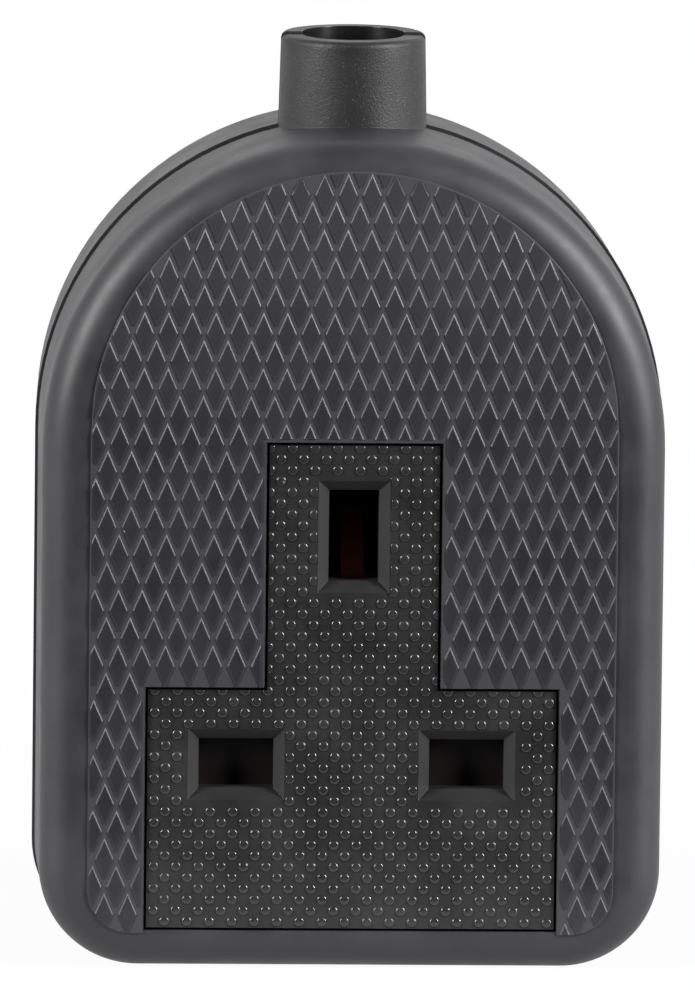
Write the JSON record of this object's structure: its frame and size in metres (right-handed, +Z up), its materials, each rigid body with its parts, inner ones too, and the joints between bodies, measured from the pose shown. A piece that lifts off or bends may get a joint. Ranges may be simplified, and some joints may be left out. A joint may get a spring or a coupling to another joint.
{
  "type": "inline socket connector",
  "caption": "Arched two-part inline mains socket with a T-shaped face, rectangular pin slots behind a sprung shutter, diamond grip and a cord entry collar.",
  "frame": {"origin": "middle of the flat base, under the centre of the overall box", "axes": "+X right seen from the socket face, +Y from the socket face to the back, +Z up to the cord entry collar"},
  "size_m": [0.0608, 0.0348, 0.089],
  "materials": {
    "shell_plastic": "satin black moulding with a fine grain",
    "insert_plastic": "black moulding, semi-gloss",
    "shutter_plastic": "dark brick red moulding",
    "carrier_plastic": "black moulding",
    "clamp_plastic": "black moulding",
    "contact_brass": "rolled strip",
    "terminal_brass": "turned",
    "screw_steel": "zinc plated",
    "spring_steel": "drawn wire"
  },
  "bodies": {
    "housing": {"front_shell": "shell_plastic", "rear_cover": "shell_plastic", "socket_insert": "insert_plastic", "shutter_spring": "spring_steel", "contact_carrier": "carrier_plastic", "carrier_screws": "screw_steel", "live_contact": "contact_brass", "neutral_contact": "contact_brass", "earth_contact": "contact_brass", "live_terminal": "terminal_brass", "neutral_terminal": "terminal_brass", "earth_terminal": "terminal_brass", "terminal_screws": "screw_steel", "cord_clamp": "clamp_plastic", "cord_clamp_screws": "screw_steel", "cover_screws": "screw_steel", "cover_inserts": "terminal_brass"},
    "shutter_slider": {"shutter": "shutter_plastic"}
  },
  "joints": [
    {"name": "shutter_slide", "type": "slide", "parent": "housing", "child": "shutter_slider", "axis": [0, 0, -1], "range_m": [0, 0.0056], "stiffness_N_per_m": 120, "springref_m": -0.005, "deforming": ["shutter_spring"]}
  ]
}
